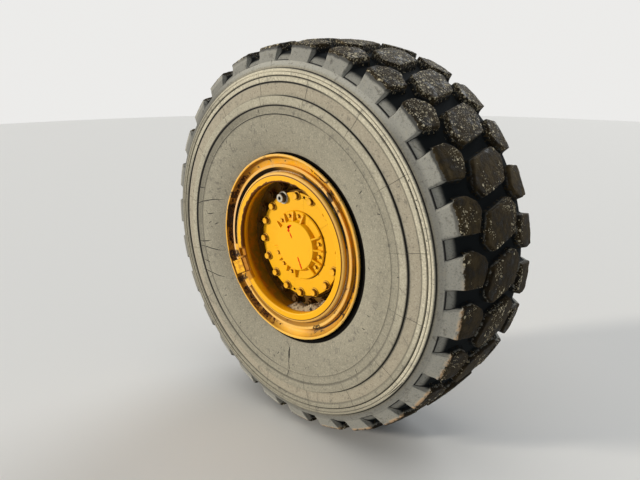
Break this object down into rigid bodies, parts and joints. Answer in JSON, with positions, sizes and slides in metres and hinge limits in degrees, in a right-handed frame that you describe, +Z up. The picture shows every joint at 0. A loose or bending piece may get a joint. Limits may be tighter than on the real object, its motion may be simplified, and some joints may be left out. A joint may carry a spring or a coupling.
{
  "type": "wheel end of an articulated dump truck",
  "caption": "Earthmover wheel on a multi-piece rim with planetary hub, wet brake housing and axle arm ending in a bolted flange; the wheel turns freely.",
  "frame": {"origin": "centre of the axle arm's bolted flange, on its inboard face", "axes": "+Y along the axle line pointing inboard, out of the flange; +Z up; the wheel's outer face looks towards -Y"},
  "size_m": [1.6167, 0.9975, 1.617],
  "materials": {
    "tyre": "dusty matt rubber with dried mud on the lugs",
    "rim_paint": "yellow machine paint, semi-gloss, dusty",
    "worn_paint": "yellow paint worn through to rust along the edges",
    "bare_steel": "bare steel, dull and lightly rusted",
    "cast_paint": "painted casting under dried mud",
    "spring_rubber": "black moulded rubber between steel plates"
  },
  "bodies": {
    "axle": {"hub_seal": "bare_steel", "spindle": "bare_steel", "brake_housing": "cast_paint", "brake_bolts_row": "bare_steel", "brake_ports": "bare_steel", "axle_arm": "cast_paint", "arm_plugs": "bare_steel", "beam_seat": "cast_paint", "beam_spring": "spring_rubber", "rod_bracket": "cast_paint"},
    "wheel": {"tyre": "tyre", "rim_base": "rim_paint", "bead_seat_band": "worn_paint", "lock_ring": "bare_steel", "outer_flange": "worn_paint", "inner_flange": "worn_paint", "driver_key": "rim_paint", "wheel_disc": "rim_paint", "wheel_nuts": "bare_steel", "valve": "bare_steel", "hub": "rim_paint", "drive_cover": "rim_paint", "cover_bolts": "rim_paint", "oil_plug": "bare_steel", "carrier_cap": "rim_paint", "cap_bolts": "rim_paint"}
  },
  "joints": [
    {"name": "wheel_turn", "type": "hinge", "parent": "axle", "child": "wheel", "pos_m": [0, -0.7, 0], "axis": [0, -1, 0], "continuous": true}
  ]
}
